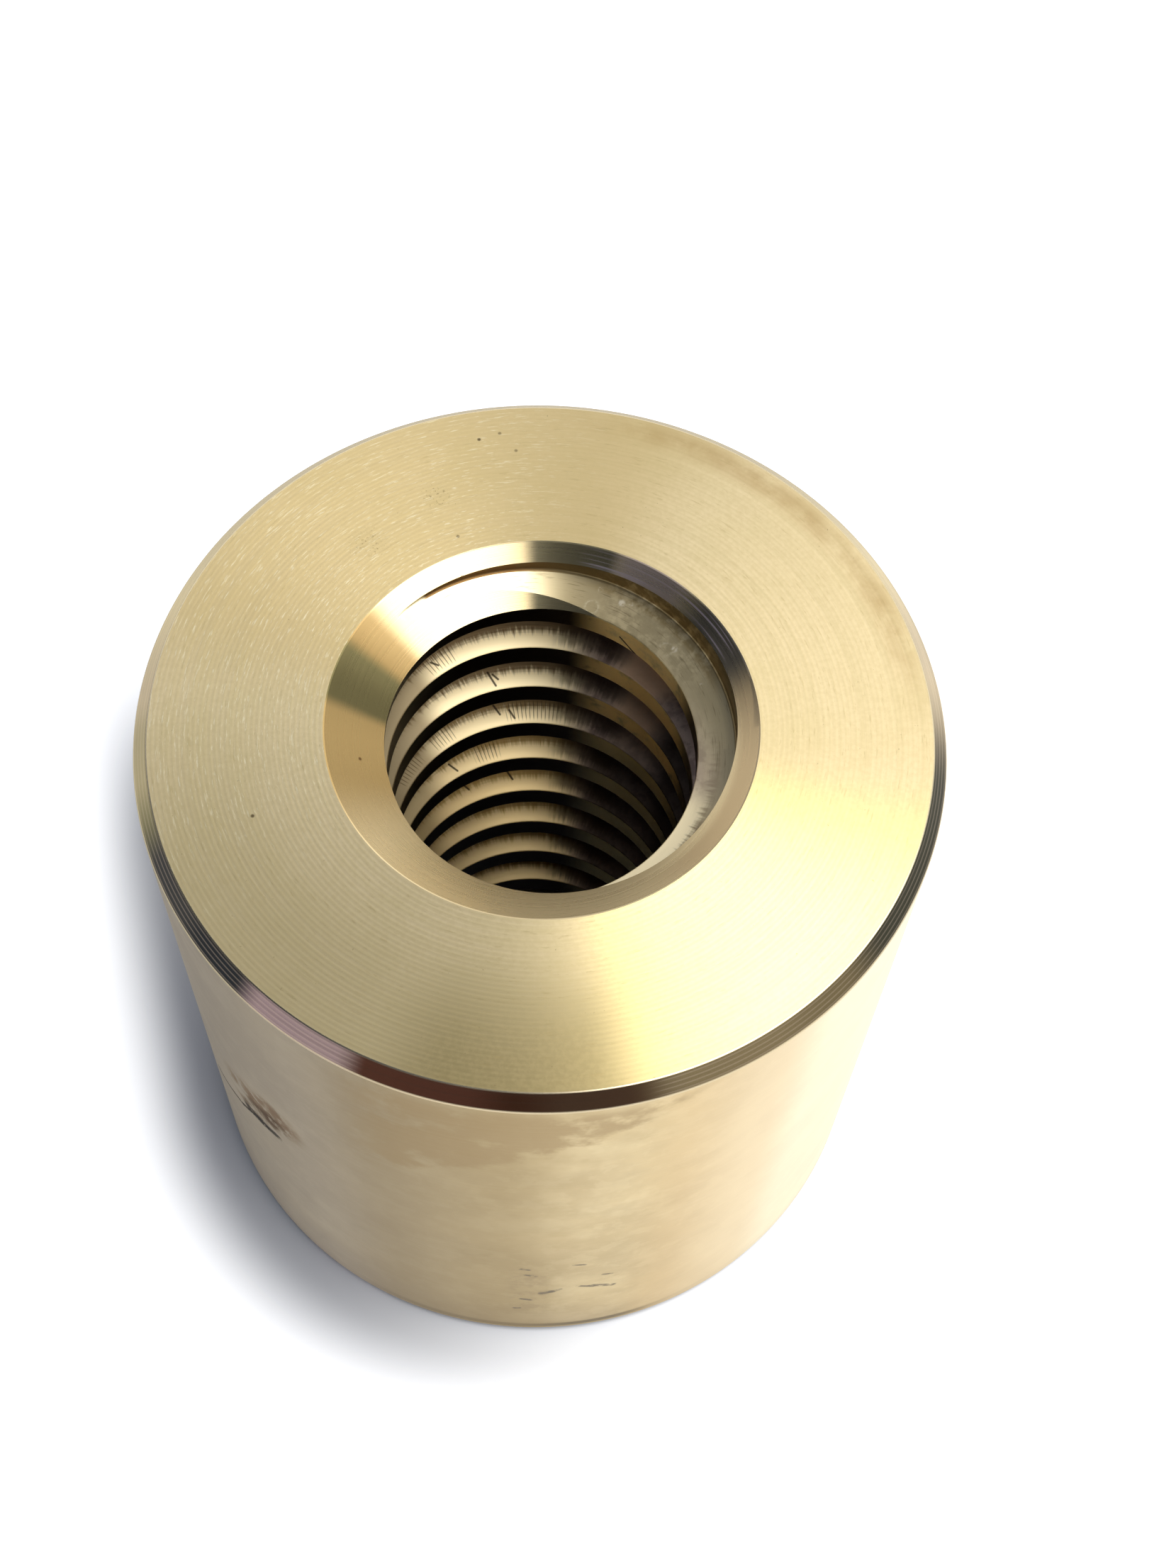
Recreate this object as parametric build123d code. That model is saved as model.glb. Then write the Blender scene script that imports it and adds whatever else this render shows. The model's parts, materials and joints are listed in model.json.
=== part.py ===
from build123d import *
from build123d.topology import SkipClean
import os
from math import ceil, radians, tan

# Trapezoidal nut: a round, turned bronze nut that runs on a Tr 24 x 5 screw.
# The axis is Z, the lower end face lies on z = 0, and lengths are in millimetres.

# ---- body ----
outside_diameter = 50.0
length = 48.0
edge_chamfer = 0.9  # at 45 degrees, on the outside edge of both end faces

# ---- thread ----
screw_diameter = 24.0  # nominal diameter of the screw that it runs on
pitch = 5.0
flank_angle = 30.0  # between the two sides of one groove
root_clearance = 0.25  # from the screw's crests to the bottom of the groove
crest_clearance = 0.3  # from the standard's smallest bore radius to the crests
flank_clearance = 0.14  # how much wider the groove is than the screw's thread, for running
exit_angle = 133.5  # degrees from +X at which the groove's middle leaves the upper face

# ---- countersinks, one at each end of the thread ----
countersink_angle = 110.0  # between the two sides of the cone
countersink_land = 1.1  # from the bottom of the groove to the countersink's rim, at the face

# ---- sizes that follow ----
outside_radius = outside_diameter / 2
root_radius = screw_diameter / 2 + root_clearance
pitch_radius = (screw_diameter - pitch / 2) / 2
bore_radius = (screw_diameter - pitch) / 2 + crest_clearance
countersink_radius = root_radius + countersink_land
countersink_depth = (countersink_radius - bore_radius) / tan(radians(countersink_angle / 2))


def turned_body() -> Part:
    """The round body, solid through the middle, with its outside edges chamfered."""
    body = Cylinder(outside_radius, length, align=(Align.CENTER, Align.CENTER, Align.MIN))
    return chamfer(body.edges().filter_by(GeomType.CIRCLE), edge_chamfer)


def half_bore() -> Part:
    """The +Y half of the round space inside the crests, with a countersink at each end."""
    with BuildPart() as half:
        with BuildSketch(Plane.XZ):
            with BuildLine():
                Polyline(
                    (0, 0),
                    (countersink_radius, 0),
                    (bore_radius, countersink_depth),
                    (bore_radius, length - countersink_depth),
                    (countersink_radius, length),
                    (0, length),
                    close=True,
                )
            make_face()
        revolve(axis=Axis.Z, revolution_arc=180)
    return half.part


def groove_half_width(radius: float) -> float:
    """Half the groove's width along the axis: half the pitch and the clearance, at the pitch radius."""
    return (pitch / 2 + flank_clearance) / 2 + (pitch_radius - radius) * tan(radians(flank_angle / 2))


def groove_turn() -> Part:
    """One right-hand turn of the groove from +X at z = 0, its section swept along the helix of its root."""
    open_radius = bore_radius - pitch / 5  # in the open bore, so that the groove opens into it
    with BuildPart() as turn:
        with BuildLine() as root_line:
            Helix(pitch, pitch, root_radius)
        with BuildSketch(Plane.XZ):
            with BuildLine():
                Polyline(
                    (open_radius, -groove_half_width(open_radius)),
                    (root_radius, -groove_half_width(root_radius)),
                    (root_radius, groove_half_width(root_radius)),
                    (open_radius, groove_half_width(open_radius)),
                    close=True,
                )
            make_face()
        sweep(path=root_line.line, is_frenet=True)
    return turn.part


def threaded_nut() -> Part:
    """The body, bored half by half so that the seams stay in the bore's wall, then threaded turn by turn."""
    turn = Rot(0, 0, exit_angle) * groove_turn()
    with SkipClean():
        nut = turned_body()
        for side in (0, 180):
            nut -= Rot(0, 0, side) * half_bore()
        for turns_down in range(-1, ceil(length / pitch) + 2):
            nut -= Pos(0, 0, length - turns_down * pitch) * turn
    return nut


os.makedirs("parts", exist_ok=True)
export_step(threaded_nut(), "parts/trapezoidal_nut.step")
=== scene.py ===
"""Studio scene of a trapezoidal nut: its cut thread, turned surfaces and marks of handling.

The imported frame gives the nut's place and size. One closed mesh stands for the CAD node and adds
what a lathe and a boring bar leave behind: broken crest corners, round root corners and fine edges.
Sizes are in millimetres and angles in degrees; the mesh is written in metres.
"""

import json
import logging
from dataclasses import dataclass
from enum import Enum
from math import cos, pi, radians, sin, tan

import bmesh
import bpy
import numpy as np
from mathutils import Matrix, Vector


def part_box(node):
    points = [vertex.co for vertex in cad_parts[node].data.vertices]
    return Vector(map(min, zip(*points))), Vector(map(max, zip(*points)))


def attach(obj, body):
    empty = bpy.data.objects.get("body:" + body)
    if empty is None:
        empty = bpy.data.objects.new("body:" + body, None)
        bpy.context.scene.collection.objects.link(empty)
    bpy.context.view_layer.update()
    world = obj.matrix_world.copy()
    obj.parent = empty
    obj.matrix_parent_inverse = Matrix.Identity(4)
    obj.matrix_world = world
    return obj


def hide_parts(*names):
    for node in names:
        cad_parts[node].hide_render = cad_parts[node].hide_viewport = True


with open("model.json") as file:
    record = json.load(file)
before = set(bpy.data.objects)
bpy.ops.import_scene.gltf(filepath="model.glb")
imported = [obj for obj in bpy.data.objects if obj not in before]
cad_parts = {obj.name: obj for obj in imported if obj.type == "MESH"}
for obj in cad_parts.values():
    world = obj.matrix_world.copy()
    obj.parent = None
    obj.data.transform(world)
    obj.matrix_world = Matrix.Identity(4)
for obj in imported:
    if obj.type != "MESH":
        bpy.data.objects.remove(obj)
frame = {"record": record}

LOG = logging.getLogger("trapezoidal_nut")
Socket = bpy.types.NodeSocket
Amount = Socket | float
Paint = Socket | tuple[float, float, float, float]
MM = 0.001
NODE = "trapezoidal_nut"
BODY = "root"
MEAN_RADIUS = 19.0
MERGE_GAP = 0.002
COLUMN_GAP = 0.02
ON_CONE = 0.01
CLOUDY = {"Detail": 4.0, "Roughness": 0.6}
STREAKY = {"Scale": 1.0, "Detail": 3.0, "Roughness": 0.6}


class Surface(Enum):
    """The cut surfaces of the nut, in the order of the piece's material slots."""

    FACE = 0
    CHAMFER = 1
    SIDE = 2
    COUNTERSINK = 3
    CREST = 4
    BREAK = 5
    FLANK = 6
    OVERHANG = 7
    ROOT = 8


@dataclass(frozen=True)
class Spot:
    """A place on the nut, as radius, azimuth and height."""

    radius: float
    azimuth: float
    height: float

    @property
    def point(self) -> Vector:
        """The place as x, y and z in millimetres."""
        turn = radians(self.azimuth)
        return Vector((self.radius * cos(turn), self.radius * sin(turn), self.height))


@dataclass(frozen=True)
class ThreadForm:
    """A single-start trapezoidal thread with the small breaks and fillets that its tools leave."""

    bore_radius: float
    screw_radius: float = 12.0
    pitch: float = 5.0
    flank_angle: float = 30.0
    root_clearance: float = 0.25
    flank_clearance: float = 0.14
    exit_angle: float = 133.5
    crest_break: float = 0.05
    root_fillet: float = 0.25
    flank_steps: int = 2
    fillet_steps: int = 3

    @property
    def root_radius(self) -> float:
        """The radius that the groove is cut to."""
        return self.screw_radius + self.root_clearance

    @property
    def pitch_radius(self) -> float:
        """The radius where groove and land are equally wide."""
        return self.screw_radius - self.pitch / 4

    def half_width(self, radius: float) -> float:
        """Half the width of the sharp groove at a radius, from its middle to its flank."""
        middle = (self.pitch / 2 + self.flank_clearance) / 2
        return middle + (self.pitch_radius - radius) * tan(radians(self.flank_angle / 2))

    def section(self) -> tuple[list[tuple[float, float]], list[Surface]]:
        """The groove's section, from the crest above it down to the crest below it.

        Returns:
            The corners as radius and rise above the groove's middle, and for each corner the
            surface that follows it.
        """
        foot = self.bore_radius + self.crest_break
        slope = radians(self.flank_angle / 2)
        sweep = radians(90) - slope
        setback = self.root_fillet * tan(sweep / 2)
        flank_end = self.root_radius - setback * cos(slope)
        upper = [(self.bore_radius, self.half_width(foot) + self.crest_break)]
        for step in range(self.flank_steps + 1):
            radius = foot + (flank_end - foot) * step / self.flank_steps
            upper.append((radius, self.half_width(radius)))
        centre_radius = self.root_radius - self.root_fillet
        centre_rise = self.half_width(self.root_radius) - setback
        for step in range(1, self.fillet_steps + 1):
            turned = sweep * (1 - step / self.fillet_steps)
            radius = centre_radius + self.root_fillet * cos(turned)
            upper.append((radius, centre_rise + self.root_fillet * sin(turned)))
        corners = upper + [(radius, -rise) for radius, rise in reversed(upper)]
        above = [Surface.BREAK] + [Surface.OVERHANG] * self.flank_steps
        below = [Surface.FLANK] * self.flank_steps + [Surface.BREAK, Surface.CREST]
        root = [Surface.ROOT] * (2 * self.fillet_steps + 1)
        return corners, above + root + below


@dataclass(frozen=True)
class TurnedNut:
    """The whole nut: a turned bronze bush with a countersunk thread through it."""

    outside_radius: float
    length: float
    thread: ThreadForm
    edge_chamfer: float = 0.9
    countersink_angle: float = 110.0
    countersink_land: float = 1.1
    fine_edge: float = 0.05
    columns: int = 300
    side_rows: int = 12
    face_rows: int = 5
    crease_angle: float = 15.0

    @classmethod
    def from_frame(cls) -> "TurnedNut":
        """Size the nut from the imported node's box and the record's thread mount.

        Returns:
            The nut at the frame's size.
        """
        low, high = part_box(NODE)
        mounts = {mount["name"]: mount for mount in frame["record"]["mounts"]}
        thread = ThreadForm(bore_radius=mounts["thread"]["dims"]["r_mm"])
        return cls((high.x - low.x) / 2 / MM, (high.z - low.z) / MM, thread)

    @property
    def rim_radius(self) -> float:
        """The radius of the countersink where it meets the face."""
        return self.thread.root_radius + self.countersink_land

    @property
    def cone_slope(self) -> float:
        """How fast the countersink widens with height."""
        return tan(radians(self.countersink_angle / 2))

    def cone_radius(self, height: np.ndarray) -> np.ndarray:
        """The nearer countersink's radius at each height above the lower face."""
        depth = np.minimum(height, self.length - height)
        return self.rim_radius - depth * self.cone_slope

    def groove_middle(self, azimuth: np.ndarray | float, turn: int) -> np.ndarray | float:
        """The height of the groove's middle, in a turn counted down from the upper run-out."""
        form = self.thread
        return self.length + (azimuth - form.exit_angle) / 360 * form.pitch - turn * form.pitch

    def flank_spot(self, turn: int, azimuth: float, radius: float) -> Spot:
        """A place on the flank that faces up, in a turn counted down from the upper face."""
        middle = self.groove_middle(azimuth, turn)
        return Spot(radius, azimuth, middle - self.thread.half_width(radius))

    def outline(self) -> list[tuple[float, float, Surface]]:
        """The turned outside, from the upper countersink's rim out, down and in to the lower one.

        Returns:
            Corners as radius, height and the surface that follows each.
        """
        fine, chamfer = self.fine_edge, self.edge_chamfer
        slant = fine * sin(radians(45))
        wall = self.outside_radius
        rim = self.rim_radius + fine
        face = [(rim, 0.0, Surface.FACE)]
        for step in range(1, self.face_rows + 1):
            radius = rim + (wall - chamfer - fine - rim) * step / self.face_rows
            face.append((radius, 0.0, Surface.FACE))
        face[-1] = (wall - chamfer - fine, 0.0, Surface.CHAMFER)
        chamfered = [
            (wall - chamfer + slant, slant, Surface.CHAMFER),
            (wall - slant, chamfer - slant, Surface.CHAMFER),
            (wall, chamfer + fine, Surface.SIDE),
        ]
        upper = [(radius, self.length - depth, after) for radius, depth, after in face + chamfered]
        side = []
        for step in range(1, self.side_rows):
            share = step / self.side_rows
            height = self.length - chamfer - fine - share * (self.length - 2 * (chamfer + fine))
            side.append((wall, height, Surface.SIDE))
        lower = [(radius, depth) for radius, depth, _ in face + chamfered][::-1]
        after = [point[2] for point in face + chamfered][-2::-1] + [Surface.COUNTERSINK]
        return upper + side + [(r, z, surface) for (r, z), surface in zip(lower, after)]

    def column_angles(self) -> np.ndarray:
        """The azimuths of the mesh's columns.

        Even steps, and between them the angles where a corner of the groove runs out into a
        countersink, so that each run-out edge is a clean line.

        Returns:
            Sorted angles from 0 to 360.
        """
        form = self.thread
        angles = list(np.linspace(0.0, 360.0, self.columns + 1))
        turns = int(self.length / form.pitch) + 3
        for radius, rise in form.section()[0]:
            depth = (self.rim_radius - radius) / self.cone_slope
            for height in (self.length - depth, depth):
                for turn in range(turns):
                    lift = height - rise + turn * form.pitch - self.length
                    angles.append(form.exit_angle + lift * 360 / form.pitch)
        kept: list[float] = []
        for angle in sorted(angle for angle in angles if 0 <= angle <= 360):
            if not kept or angle - kept[-1] > COLUMN_GAP:
                kept.append(angle)
        kept[-1] = 360.0
        return np.array(kept)

    def inner_rows(self, angles: np.ndarray) -> tuple[np.ndarray, np.ndarray, list[Surface]]:
        """The threaded wall, from the upper countersink's rim down to the lower one's.

        Args:
            angles: the azimuths of the columns.

        Returns:
            Radii and heights, a row for each corner and a column for each azimuth, and the
            surface below each row.
        """
        form = self.thread
        corners, surfaces = form.section()
        radii, heights, below = [], [], []
        turn = 0
        while self.length - turn * form.pitch > -2 * form.pitch:
            middle = self.groove_middle(angles, turn)
            for (radius, rise), surface in zip(corners, surfaces):
                radii.append(np.full_like(angles, radius))
                heights.append(middle + rise)
                below.append(surface)
            turn += 1
        return self.countersunk(np.array(radii), np.array(heights), below)

    def countersunk(
        self, radii: np.ndarray, heights: np.ndarray, below: list[Surface]
    ) -> tuple[np.ndarray, np.ndarray, list[Surface]]:
        """Cut the thread's rows back to both countersinks.

        A row is added where a segment crosses a cone, and rows outside the metal fold onto it.

        Args:
            radii: radius of each row and column.
            heights: height of each row and column.
            below: the surface below each row.

        Returns:
            The same three, cut to the countersinks and the nut's length.
        """
        over = radii - self.cone_radius(heights)
        over[np.abs(over) < 1e-6] = 0.0
        rows_r, rows_z, rows_s = [], [], []
        for row, surface in enumerate(below):
            rows_r.append(radii[row])
            rows_z.append(heights[row])
            rows_s.append(surface)
            last = row + 1 == len(below)
            if last or not (over[row : row + 2] < 0).any():
                continue
            fall = over[row] - over[row + 1]
            crossing = (over[row] * over[row + 1] <= 0) & (fall != 0)
            share = np.where(crossing, over[row] / np.where(crossing, fall, 1.0), 0.5)
            rows_r.append(radii[row] + share * (radii[row + 1] - radii[row]))
            rows_z.append(heights[row] + share * (heights[row + 1] - heights[row]))
            rows_s.append(surface)
        cut_z = np.clip(np.array(rows_z), self.fine_edge / 2, self.length - self.fine_edge / 2)
        cut_r = np.maximum(np.array(rows_r), self.cone_radius(cut_z))
        outside = (np.array(rows_z) > self.length) | (np.array(rows_z) < 0)
        cut_r = np.where(outside, self.cone_radius(cut_z), cut_r)
        return cut_r, cut_z, rows_s

    def build(self) -> bpy.types.Object:
        """Make the closed mesh of the nut.

        Returns:
            The object, with each face's material index set to its surface and no material slots
            yet.
        """
        angles = self.column_angles()
        inner_r, inner_z, inner_s = self.inner_rows(angles)
        outer = self.outline()
        ones = np.ones_like(angles)
        radii = np.vstack([np.outer([p[0] for p in outer], ones), inner_r[::-1]])
        heights = np.vstack([np.outer([p[1] for p in outer], ones), inner_z[::-1]])
        surfaces = [p[2] for p in outer] + inner_s[::-1][1:] + [Surface.COUNTERSINK]
        mesh = bmesh.new()
        turned = np.radians(angles)
        grid = [
            [
                mesh.verts.new((r * cos(a) * MM, r * sin(a) * MM, z * MM))
                for r, z, a in zip(row_r, row_z, turned)
            ]
            for row_r, row_z in zip(radii, heights)
        ]
        rows = len(grid)
        for row in range(rows):
            nearer, farther = grid[row], grid[(row + 1) % rows]
            for column in range(len(angles) - 1):
                corners = (nearer[column], nearer[column + 1], farther[column + 1], farther[column])
                mesh.faces.new(corners).material_index = surfaces[row].value
        bmesh.ops.remove_doubles(mesh, verts=mesh.verts[:], dist=MERGE_GAP * MM)
        bmesh.ops.dissolve_degenerate(mesh, edges=mesh.edges[:], dist=MERGE_GAP * MM)
        self.name_cone_faces(mesh)
        bmesh.ops.recalc_face_normals(mesh, faces=mesh.faces[:])
        self.crease(mesh)
        data = bpy.data.meshes.new("turned_nut")
        mesh.to_mesh(data)
        mesh.free()
        piece = bpy.data.objects.new("turned_nut", data)
        bpy.context.scene.collection.objects.link(piece)
        return piece

    def dress(self, piece: bpy.types.Object) -> None:
        """Give each surface its finish, in the order of the material slots.

        Args:
            piece: the nut's object.
        """
        finish_of = finishes(self)
        for surface in Surface:
            piece.data.materials.append(finish_of[surface].material())

    def crease(self, mesh: bmesh.types.BMesh) -> None:
        """Shade each surface smooth, and keep sharp the edges where faces meet at more than the
        crease angle, except inside the root.

        Args:
            mesh: the nut's mesh, with a surface on each face.
        """
        root = Surface.ROOT.value
        for face in mesh.faces:
            face.smooth = True
        for edge in mesh.edges:
            in_root = all(face.material_index == root for face in edge.link_faces)
            edge.smooth = in_root or edge.calc_face_angle(0.0) < radians(self.crease_angle)

    def name_cone_faces(self, mesh: bmesh.types.BMesh) -> None:
        """Give the faces that lie on a countersink to its surface.

        Args:
            mesh: the nut's mesh, with a surface on each face.
        """
        inside = (Surface.CREST, Surface.BREAK, Surface.FLANK, Surface.OVERHANG, Surface.ROOT)
        thread_slots = [surface.value for surface in inside]
        for face in mesh.faces:
            if face.material_index not in thread_slots:
                continue
            over = []
            for corner in face.verts:
                radius = corner.co.xy.length / MM
                over.append(radius - float(self.cone_radius(np.array(corner.co.z / MM))))
            if max(over) < ON_CONE:
                face.material_index = Surface.COUNTERSINK.value


def linear(hex_colour: str) -> tuple[float, float, float, float]:
    """Turn an sRGB hex colour to the linear colour that a shader takes.

    Args:
        hex_colour: six hex digits after a #.

    Returns:
        Red, green, blue and an alpha of 1.
    """
    channels = [int(hex_colour[place : place + 2], 16) / 255 for place in (1, 3, 5)]
    curved = [c / 12.92 if c <= 0.04045 else ((c + 0.055) / 1.055) ** 2.4 for c in channels]
    return curved[0], curved[1], curved[2], 1.0


def add_node(
    tree: bpy.types.NodeTree,
    kind: str,
    links: dict[int | str, object] | None = None,
    output: int | str = 0,
    **settings: object,
) -> Socket:
    """Add a node with its settings and links.

    Args:
        tree: the tree that gets the node.
        kind: the node's type without its ShaderNode prefix.
        links: a socket to link or a value to set, for each input by name or number.
        output: the output to return.
        **settings: properties of the node.

    Returns:
        One output of the new node, or its first input where it has no output.
    """
    node = tree.nodes.new("ShaderNode" + kind)
    for name, value in settings.items():
        setattr(node, name, value)
    for name, value in (links or {}).items():
        if isinstance(value, Socket):
            tree.links.new(value, node.inputs[name])
        else:
            node.inputs[name].default_value = value
    return node.outputs[output] if len(node.outputs) else node.inputs[0]


@dataclass(frozen=True)
class LathePlace:
    """Where a shaded point lies round the nut's axis: sockets in millimetres and degrees."""

    tree: bpy.types.NodeTree
    point: Socket
    around: Socket
    radius: Socket
    height: Socket
    azimuth: Socket

    @classmethod
    def of(cls, tree: bpy.types.NodeTree) -> "LathePlace":
        """Work the place out from the object's own coordinates.

        Args:
            tree: the material's node tree.

        Returns:
            The place, as sockets of that tree.
        """
        metres = add_node(tree, "TexCoord", output="Object")
        point = add_node(tree, "VectorMath", {0: metres, "Scale": 1 / MM}, operation="SCALE")
        flat = add_node(tree, "VectorMath", {0: point, 1: (1.0, 1.0, 0.0)}, operation="MULTIPLY")
        around = add_node(tree, "VectorMath", {0: flat}, operation="NORMALIZE")
        radius = add_node(tree, "VectorMath", {0: flat}, "Value", operation="LENGTH")
        axes = add_node(tree, "SeparateXYZ", {0: point}).node.outputs
        angle = add_node(tree, "Math", {0: axes["Y"], 1: axes["X"]}, operation="ARCTAN2")
        azimuth = add_node(tree, "Math", {0: angle}, operation="DEGREES")
        return cls(tree, point, around, radius, axes["Z"], azimuth)

    def streaks(self, across: Socket, width: float, length: float, seed: float) -> Socket:
        """Noise drawn out along the turning direction.

        Args:
            across: the coordinate across the streaks.
            width: how wide a streak is.
            length: how long it is at the mean radius of the face.
            seed: where in the noise this one starts.

        Returns:
            A value round 0.5.
        """
        tree = self.tree
        reach = MEAN_RADIUS / length
        turn = add_node(tree, "VectorMath", {0: self.around, "Scale": reach}, operation="SCALE")
        steps = {0: across, 1: 1 / width, 2: seed}
        lift = add_node(tree, "Math", steps, operation="MULTIPLY_ADD")
        shift = add_node(tree, "CombineXYZ", {"Z": lift})
        spot = add_node(tree, "VectorMath", {0: turn, 1: shift}, operation="ADD")
        return add_node(tree, "TexNoise", {"Vector": spot, **STREAKY})

    def cross_lines(self, width: float, length: float, seed: float) -> Socket:
        """Noise drawn out across the turning direction, as chatter leaves it.

        Args:
            width: how many degrees wide a line is.
            length: how far along the axis a line holds on.
            seed: where in the noise this one starts.

        Returns:
            A value round 0.5.
        """
        tree = self.tree
        turned = {0: self.azimuth, 1: 1 / width, 2: seed}
        lines = add_node(tree, "Math", turned, operation="MULTIPLY_ADD")
        lift = add_node(tree, "Math", {0: self.height, 1: 1 / length}, operation="MULTIPLY")
        spot = add_node(tree, "CombineXYZ", {"X": lines, "Y": lift})
        return add_node(tree, "TexNoise", {"Vector": spot, "Scale": 1.0, "Detail": 2.0})

    def clouds(self, size: float, seed: float) -> Socket:
        """Cloudy noise round 0.5 for stains and tarnish, with clouds of a size."""
        spot = add_node(self.tree, "VectorMath", {0: self.point, 1: (seed,) * 3}, operation="ADD")
        return add_node(self.tree, "TexNoise", {"Vector": spot, "Scale": 1 / size, **CLOUDY})

    def ridges(self, across: Socket, feed: float) -> Socket:
        """The even ridges that a tool leaves at its feed per turn, as a wave from -1 to 1."""
        phase = add_node(self.tree, "Math", {0: across, 1: 2 * pi / feed}, operation="MULTIPLY")
        return add_node(self.tree, "Math", {0: phase}, operation="SINE")

    def ramp(self, value: Socket, start: float, full: float) -> Socket:
        """A mask that rises softly from 0 at start to 1 at full, which may lie below start."""
        limits = {"Value": value, "From Min": start, "From Max": full}
        return add_node(self.tree, "MapRange", limits, interpolation_type="SMOOTHSTEP")

    def both(self, *masks: Socket) -> Socket:
        """The product of masks.

        Args:
            *masks: two masks or more.

        Returns:
            One mask.
        """
        joined = masks[0]
        for mask in masks[1:]:
            joined = add_node(self.tree, "Math", {0: joined, 1: mask}, operation="MULTIPLY")
        return joined

    def either(self, *masks: Socket) -> Socket:
        """The soft union of masks.

        Args:
            *masks: two masks or more.

        Returns:
            One mask.
        """
        joined = masks[0]
        for mask in masks[1:]:
            rest = add_node(self.tree, "Math", {0: 1.0, 1: joined}, operation="SUBTRACT")
            steps = {0: rest, 1: mask, 2: joined}
            joined = add_node(self.tree, "Math", steps, operation="MULTIPLY_ADD")
        return joined

    def band(self, value: Socket, low: float, high: float, soft: float) -> Socket:
        """A mask, 1 between low and high, with soft edges inside those limits."""
        return self.both(self.ramp(value, low, low + soft), self.ramp(value, high, high - soft))

    def sector(self, centre: float, half: float, soft: float) -> Socket:
        """A soft-edged sector round the axis.

        Args:
            centre: the azimuth of its middle.
            half: half its angle.
            soft: how wide each soft edge is, outside that angle.

        Returns:
            A mask, 1 in the sector.
        """
        shifted = add_node(self.tree, "Math", {0: self.azimuth, 1: centre}, operation="SUBTRACT")
        wrapped = add_node(self.tree, "Math", {0: shifted, 1: 180.0, 2: -180.0}, operation="WRAP")
        away = add_node(self.tree, "Math", {0: wrapped}, operation="ABSOLUTE")
        return self.ramp(away, half + soft, half)

    def away(self, spot: Spot) -> Socket:
        """The distance from a spot."""
        ends = {0: self.point, 1: spot.point}
        return add_node(self.tree, "VectorMath", ends, "Value", operation="DISTANCE")

    def dot(self, spot: Spot, size: float) -> Socket:
        """A small round mark: 1 in its middle and 0 beyond its radius."""
        return self.ramp(self.away(spot), size, size * 0.35)

    def outside(self, spot: Spot, size: float) -> Socket:
        """The opposite of a small round mark: 0 in its middle and 1 beyond its radius."""
        return self.ramp(self.away(spot), size * 0.8, size)

    def line(self, start: Spot, end: Spot, width: float) -> Socket:
        """A fine straight mark.

        Args:
            start: one end.
            end: the other end.
            width: its width.

        Returns:
            A mask, 1 along its middle.
        """
        along = end.point - start.point
        tree = self.tree
        steps = {0: self.point, 1: start.point}
        offset = add_node(tree, "VectorMath", steps, operation="SUBTRACT")
        steps = {0: offset, 1: along / along.length_squared}
        share = add_node(tree, "VectorMath", steps, "Value", operation="DOT_PRODUCT")
        kept = add_node(tree, "Clamp", {0: share})
        foot = add_node(tree, "VectorMath", {0: along, "Scale": kept}, operation="SCALE")
        away = add_node(tree, "VectorMath", {0: offset, 1: foot}, "Value", operation="DISTANCE")
        return self.ramp(away, width / 2, width / 6)


@dataclass(frozen=True)
class SectorTint:
    """A tint over a sector, which may rise from 0 to 1 between two heights or two radii."""

    azimuth: float
    half: float
    soft: float
    colour: str
    amount: float
    heights: tuple[float, float] | None = None
    radii: tuple[float, float] | None = None


@dataclass(frozen=True)
class Mark:
    """A fine mark on the wall: azimuth and height of both its ends, and its width."""

    start: tuple[float, float]
    end: tuple[float, float]
    width: float


@dataclass
class Coat:
    """One finish while its layers go on: colour, roughness and relief in millimetres."""

    place: LathePlace
    colour: Paint
    roughness: Amount
    metallic: Amount = 1.0
    height: Amount = 0.0

    def tint(self, mask: Socket, colour: str, amount: float = 1.0) -> None:
        """Blend a colour in.

        Args:
            mask: where it goes.
            colour: what it is.
            amount: how much of it shows at most.
        """
        tree = self.place.tree
        share = add_node(tree, "Math", {0: mask, 1: amount}, operation="MULTIPLY", use_clamp=True)
        layers = {"Fac": share, "Color1": self.colour, "Color2": linear(colour)}
        self.colour = add_node(tree, "MixRGB", layers)

    def tint_sector(self, *sector_tints: SectorTint) -> None:
        """Tint sectors round the axis, one over another.

        Args:
            *blooms: what they are, the lowest first.
        """
        place = self.place
        for tint_sector in sector_tints:
            mask = place.sector(tint_sector.azimuth, tint_sector.half, tint_sector.soft)
            for value, limits in ((place.height, tint_sector.heights), (place.radius, tint_sector.radii)):
                if limits:
                    mask = place.both(mask, place.ramp(value, *limits))
            self.tint(mask, tint_sector.colour, tint_sector.amount)

    def roughen(self, mask: Socket, amount: float) -> None:
        """Add to the roughness where the mask is 1, or take from it with a negative amount."""
        steps = {0: mask, 1: amount, 2: self.roughness}
        self.roughness = add_node(self.place.tree, "Math", steps, operation="MULTIPLY_ADD")

    def soil(self, mask: Socket, colour: str, amount: float) -> None:
        """Lay dried dirt on, which is dull and no metal.

        Args:
            mask: where it lies.
            colour: what it is.
            amount: how much of the metal it hides.
        """
        self.tint(mask, colour, amount)
        self.roughen(mask, 0.4)
        steps = {0: mask, 1: -amount, 2: self.metallic}
        tree = self.place.tree
        self.metallic = add_node(tree, "Math", steps, operation="MULTIPLY_ADD", use_clamp=True)

    def raise_by(self, mask: Socket, amount: float) -> None:
        """Add relief in the mask's shape, as high as the amount in millimetres, or cut it in."""
        steps = {0: mask, 1: amount, 2: self.height}
        self.height = add_node(self.place.tree, "Math", steps, operation="MULTIPLY_ADD")


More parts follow.
